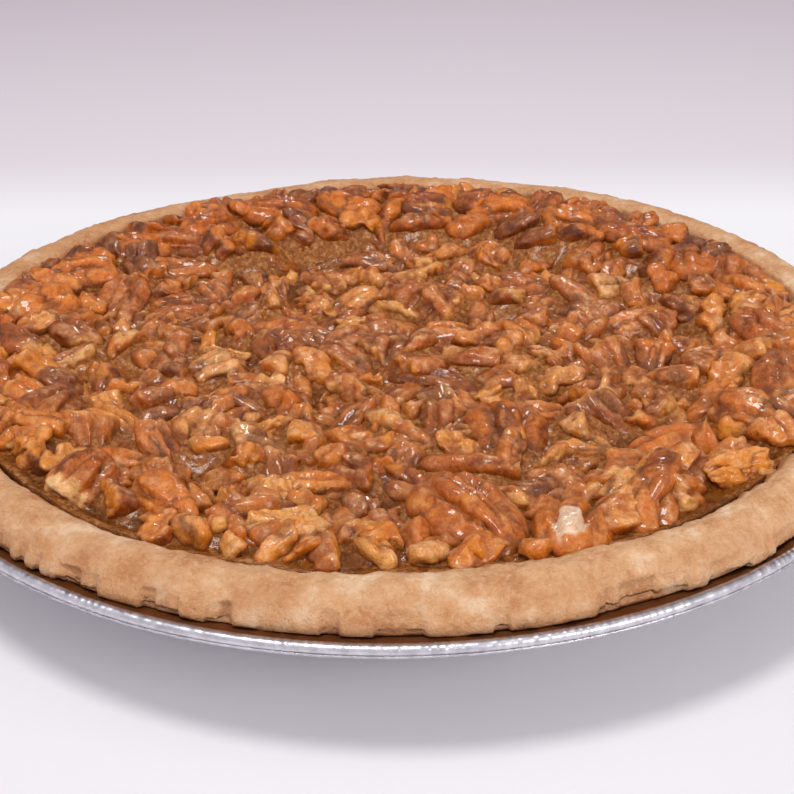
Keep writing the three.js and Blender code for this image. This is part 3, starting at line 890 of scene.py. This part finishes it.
def nut_material():
    """Glazed pecan: skin and broken flesh, with painted dark amber shade down the creases and round the bases
    by the syrup, where the syrup's soaking also deepens them, a matt tan sugar layer over the tops that is
    partly painted sheen, and syrup froth set on them near the syrup."""
    look = Shader("pecan", Coat_Weight=0.6, Coat_Roughness=0.08, Specular_IOR_Level=0.4,
                  Subsurface_Weight=0.1)
    look.surface.inputs["Specular Tint"].default_value = (1.0, 0.66, 0.4, 1)
    look.surface.inputs["Subsurface Radius"].default_value = (0.003, 0.0011, 0.0004)
    look.surface.inputs["Subsurface Scale"].default_value = 0.5
    uneven = look.spread(look.noise(3.0, 5, 0.65), 0.25, 0.75, -0.2, 0.2)
    grain = look.noise(0.8, 4, 0.7)
    tone = look.math("ADD", look.attribute("tone"), uneven, clamp=True)
    skin = look.ramp(tone, [(0.0, (42, 18, 8)), (0.2, (104, 42, 12)), (0.42, (166, 76, 16)),
                            (0.65, (217, 115, 28)), (0.85, (238, 152, 64)), (1.0, (249, 192, 126))])
    pale = look.attribute("pale")
    flesh = look.ramp(look.math("ADD", pale, uneven, clamp=True),
                      [(0.0, (206, 103, 10)), (0.35, (231, 141, 38)), (0.7, (246, 186, 108)),
                       (1.0, (254, 216, 170))])
    body = look.mix(look.attribute("skin"), flesh, skin)
    # tan: a matt sugar layer on the upward faces, partly painted sheen
    tan = look.ramp(look.noise(2.2, 5, 0.65), [(0.35, (184, 104, 50)), (0.5, (214, 140, 84)),
                                               (0.65, (248, 196, 146))])
    patchy = look.spread(look.noise(5.0, 5, 0.65), 0.38, 0.56, 0.1, 0.75)
    top = look.math("MULTIPLY", look.attribute("top"), patchy)
    film_and_sheen = look.mix(top, body, tan)
    near = look.math("MULTIPLY", look.attribute("froth"), look.spread(look.noise(1.6, 4, 0.7), 0.4, 0.6))
    set_on = look.mix(look.math("MULTIPLY", near, 0.85), film_and_sheen, froth_tint(look))
    # painted shade down the creases, plus small dark grain specks that are the kernel's own
    shade = look.math("ADD", look.math("MULTIPLY", look.attribute("crease"), 0.6),
                      look.spread(grain, 0.38, 0.48, 0.25, 0.0), clamp=True)
    # painted shade round the nuts' bases by the syrup, on top of the syrup's own soaking
    wet_and_shade = look.math("MULTIPLY", look.attribute("deep"),
                    look.spread(look.noise(2.0, 4, 0.65), 0.4, 0.6, 0.95, 0.35))
    soaked_and_shaded = look.mix(wet_and_shade, set_on, (128, 56, 0))
    # the dark amber colour of the painted shade
    deep = look.mix(look.attribute("skin"), (164, 68, 0), (76, 26, 0))
    broken = look.math("SUBTRACT", 1.0, look.attribute("skin"))
    clean = look.math("MULTIPLY", look.spread(pale, 1.0, 1.2), broken)
    chipped = look.ramp(look.noise(1.5, 4), [(0.35, (226, 180, 144)), (0.6, (248, 214, 182))])
    look.feed(look.surface.inputs["Base Color"], look.mix(clean, look.mix(shade, soaked_and_shaded, deep), chipped))
    gloss = look.spread(look.noise(1.6, 3), 0.3, 0.7, 0.2, 0.5)
    look.feed(look.surface.inputs["Roughness"], look.math("ADD", gloss, look.math("MULTIPLY", top, 0.3)))
    look.bump((look.noise(2.4, 5, 0.65), 0.8), (grain, 0.35))
    look.bump((look.noise(1.8, 4, 0.6), 0.09), (look.noise(0.6, 2), 0.015), socket="Coat Normal")
    return look.material


def froth_tint(look):
    """Fine bubbles: tiny pale specks in brown."""
    return look.ramp(look.noise(1.4, 5, 0.65), [(0.34, (126, 66, 18)), (0.5, (168, 102, 46)),
                                                (0.66, (212, 154, 98))])


# ---- The set syrup between the nuts ------------------------------------------------------------------
SYRUP_STEPS = 460


def widest(grid, reach):
    """The highest value within reach cells, along each axis in turn."""
    for axis in (0, 1):
        for _ in range(reach):
            ahead, behind = np.roll(grid, 1, axis), np.roll(grid, -1, axis)
            grid = np.maximum(grid, np.maximum(ahead, behind))
    return grid


def syrup_level(surface, clouds):
    """The height of the set syrup, which fills between the nuts and climbs their sides. It stands higher
    than the frame's filling, as the loose nuts do."""
    nuts = np.full((GRID_SIDE, GRID_SIDE), -1e3)
    for cloud in clouds:
        cells = np.clip(np.round((cloud[:, :2] + SPAN) / GRID).astype(int), 0, GRID_SIDE - 1)
        np.maximum.at(nuts, tuple(cells.T), cloud[:, 2])
    nuts = widest(nuts, 1)
    axis = np.linspace(-SPAN, SPAN, GRID_SIDE)
    radius = np.hypot(axis[:, None], axis[None, :])
    below = 2.2 + 0.9 * smoothstep(radius, 66, 86)
    return np.maximum(blur(np.maximum(nuts, surface - 2), 1.6) - below, surface - 2.0)


def syrup(surface, level):
    """The set syrup, a solid from the crust's floor up to its frothy top."""
    rings = np.concatenate([np.linspace(0.5, 88, 84), np.linspace(89, FILLING_RADIUS + 0.4, 26)])
    azimuth = np.linspace(0, 2 * math.pi, SYRUP_STEPS, endpoint=False)
    radius = np.repeat(rings[:, None], SYRUP_STEPS, axis=1)
    x, y = radius * np.cos(azimuth), radius * np.sin(azimuth)
    flat = np.stack([x, y, 0 * x], axis=-1).reshape(-1, 3)
    ripples = 0.5 * layered(flat, 5, 51, 3) + 0.3 * layered(flat, 1.5, 52, 2)
    z = sample(level, x, y) + ripples.reshape(x.shape)
    against = smoothstep(radius, FILLING_RADIUS - 5, FILLING_RADIUS - 0.5)
    wet_line = CREST - 3.0 + 1.5 * back_rise(azimuth) + 0.7 * noise(on_circle(azimuth, 100), 9, 53)
    z = z * (1 - against) + against * wet_line[None, :]
    # high: froth where the syrup stands higher; low syrup stays dark, partly its own colour and partly
    # painted shade in the hollows
    high = (z - sample(surface, x, y)) / 4 + 0.38 + 0.15 * against
    top = np.stack([x, y, z], axis=-1)
    under = [[(r * math.cos(a), r * math.sin(a), h) for a in azimuth] for r, h in
             ((FILLING_RADIUS - 1, CREST - 7.5), *SYRUP_FLOOR)]
    points = np.concatenate([top, np.array(under)])
    froth = np.concatenate([high, np.zeros((len(under), SYRUP_STEPS))])
    faces = ring_faces(len(points), SYRUP_STEPS, clockwise=True)
    add_piece("set_syrup", points.reshape(-1, 3), faces, syrup_material(), ["nut_filling"],
              {"high": np.clip(froth, 0, 1).ravel()})


def syrup_material():
    """Set brown syrup, paler and full of fine bubbles where it has climbed; where it lies low it stays dark,
    partly its own colour and partly painted shade in the hollows.
    """
    look = Shader("syrup", Coat_Weight=0.35, Coat_Roughness=0.12, Specular_IOR_Level=0.4,
                  Subsurface_Weight=0.1)
    look.surface.inputs["Specular Tint"].default_value = (1.0, 0.66, 0.4, 1)
    look.surface.inputs["Subsurface Radius"].default_value = (0.003, 0.0012, 0.0004)
    base = look.ramp(look.noise(4, 5, 0.65), [(0.3, (72, 32, 0)), (0.5, (118, 60, 4)),
                                             (0.7, (160, 94, 22))])
    uneven = look.spread(look.noise(1.0, 5, 0.7), 0.35, 0.65, -0.35, 0.35)
    fine = look.math("ADD", uneven, look.attribute("high"))
    frothy = look.mix(look.spread(fine, 0.35, 0.85, 0, 0.85), base, froth_tint(look))
    look.feed(look.surface.inputs["Base Color"], frothy)
    look.feed(look.surface.inputs["Roughness"], look.spread(look.noise(2.0, 3), 0.3, 0.7, 0.25, 0.55))
    look.bump((look.noise(1.8, 4, 0.7), 0.9), (look.noise(0.6, 4, 0.6), 0.5))
    look.bump((look.noise(1.8, 4, 0.6), 0.12), (look.noise(0.6, 2), 0.03), socket="Coat Normal")
    return look.material


# ---- The pie -----------------------------------------------------------------------------------------
def main():
    add_camera()
    add_stage()
    add_lights()
    foil_tin()
    pastry()

    names = sorted(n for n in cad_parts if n.startswith("pecan_"))
    surface, covered = read_heights(names)
    rng = np.random.default_rng(SEED)
    heaps = []
    for number, name in enumerate(names):
        heap = Heap()
        heap.add(*named_nut(name, rng, number))
        slot = "pecan_skin" if "half" in name else "pecan_flesh"
        heaps.append((heap, name.replace("pecan", "kernel"), slot, [name]))

    heaps += [(heap, name, "pecan_flesh", []) for heap, name in chopped_nuts(rng, surface, covered)]
    level = syrup_level(surface, [heap.cloud() for heap, *_ in heaps])
    pecans = nut_material()
    for heap, name, slot, stands_for in heaps:
        heap.make(name, slot, pecans, level, stands_for)
    syrup(surface, level)


main()
